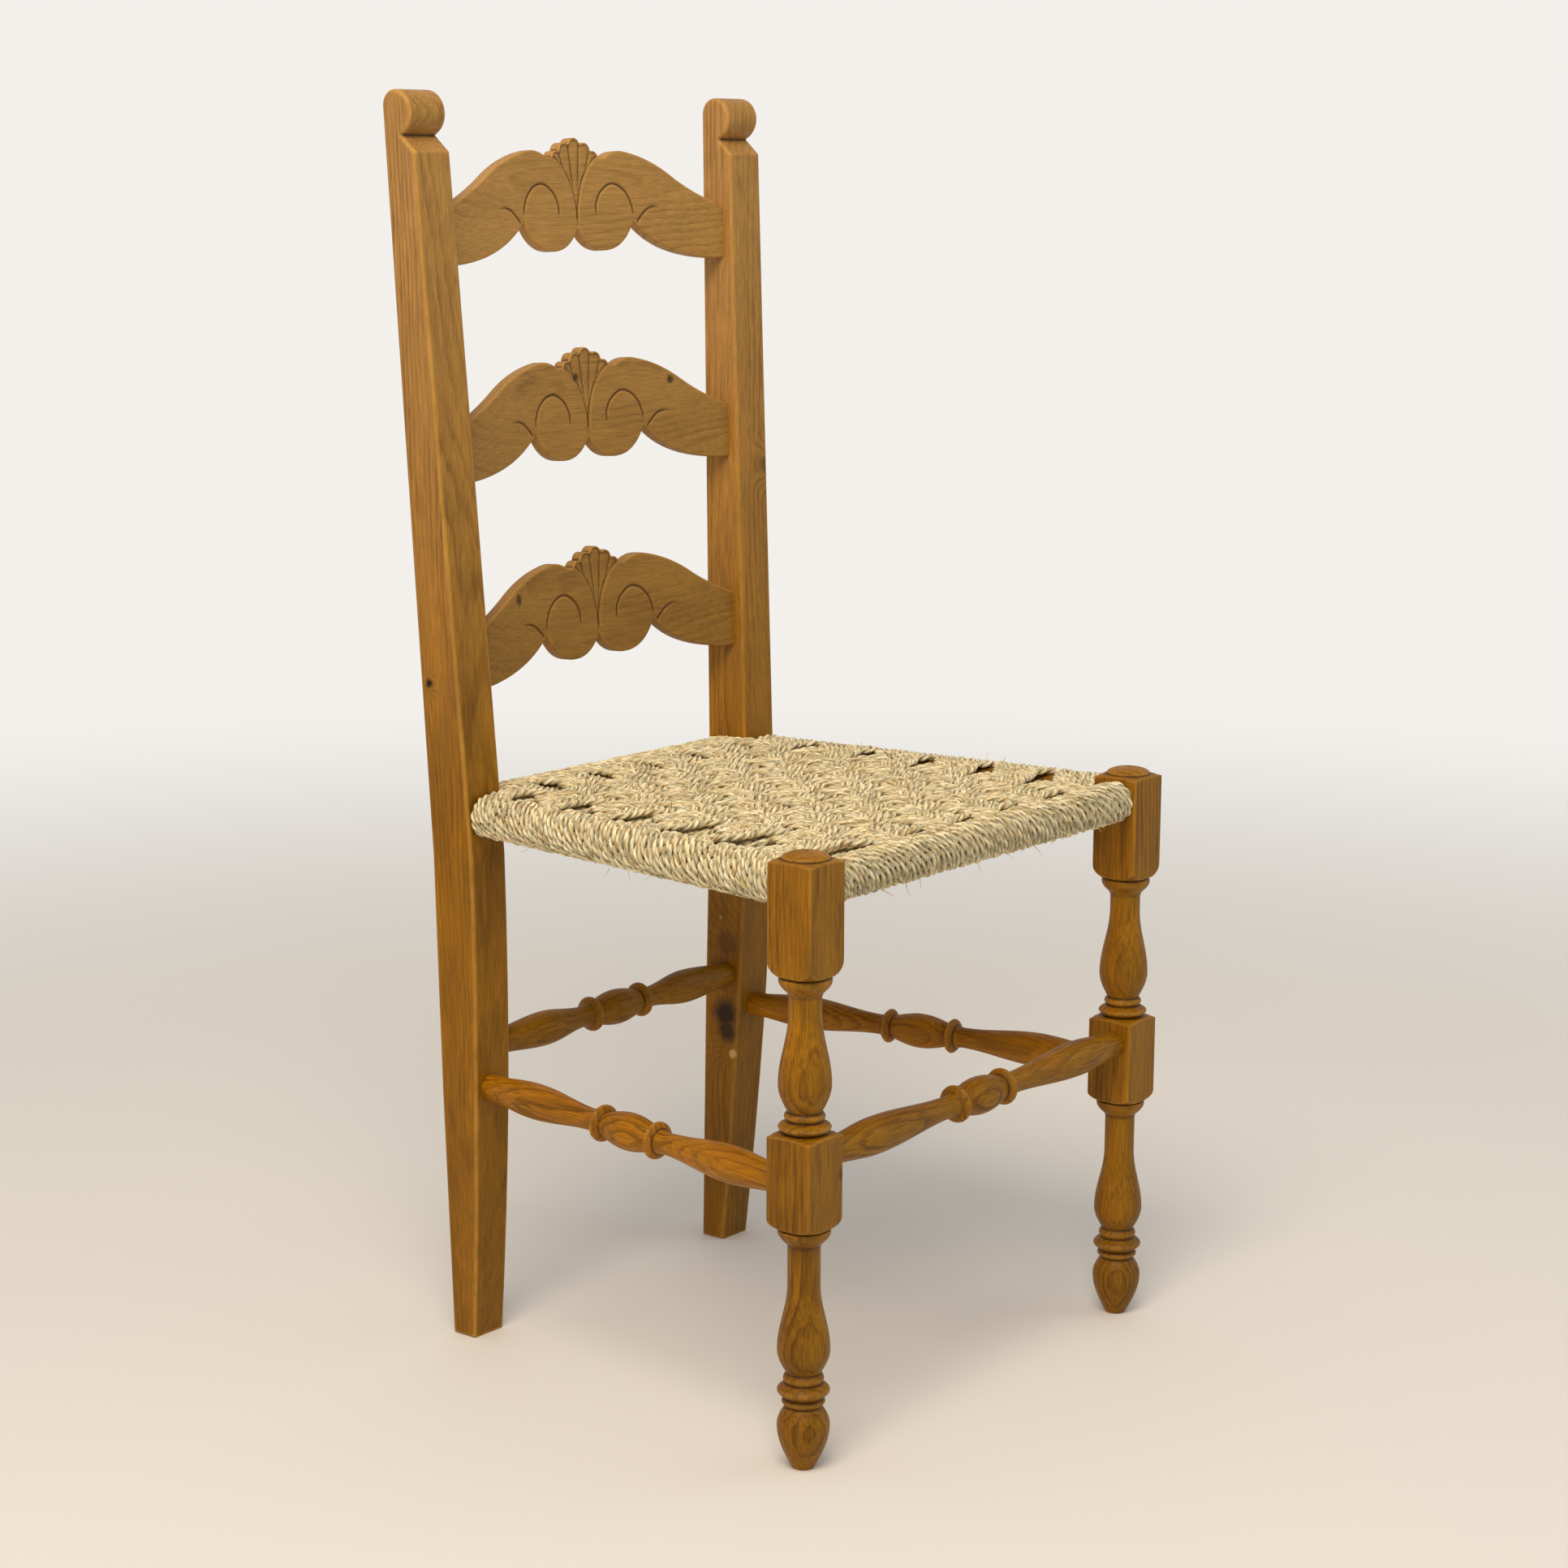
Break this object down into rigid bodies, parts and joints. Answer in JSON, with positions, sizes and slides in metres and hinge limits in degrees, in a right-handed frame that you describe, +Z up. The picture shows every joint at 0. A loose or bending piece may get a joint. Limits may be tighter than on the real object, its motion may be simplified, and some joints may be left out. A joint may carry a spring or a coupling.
{
  "type": "ladder-back chair",
  "caption": "Ladder-back dining chair in varnished pine, with carved bowed slats, turned front legs and stretchers, and a seat woven from twisted grass cord.",
  "frame": {"origin": "on the floor, under the centre of the chair's overall box", "axes": "+Z up, +Y towards the back, +X to the right of someone looking at the front of the chair"},
  "size_m": [0.457, 0.4352, 0.986],
  "materials": {
    "pine": "worn satin varnish over knotty pine",
    "rail_pine": "unvarnished pine inside the seat",
    "grass_cord": "dry twisted grass cord"
  },
  "bodies": {
    "root": {"back_post_left": "pine", "back_post_right": "pine", "front_leg_left": "pine", "front_leg_right": "pine", "slat_top": "pine", "slat_middle": "pine", "slat_bottom": "pine", "seat_rail_front": "rail_pine", "seat_rail_back": "rail_pine", "seat_rail_left": "rail_pine", "seat_rail_right": "rail_pine", "stretcher_front": "pine", "stretcher_back": "pine", "stretcher_left": "pine", "stretcher_right": "pine", "woven_seat": "grass_cord"}
  },
  "joints": []
}
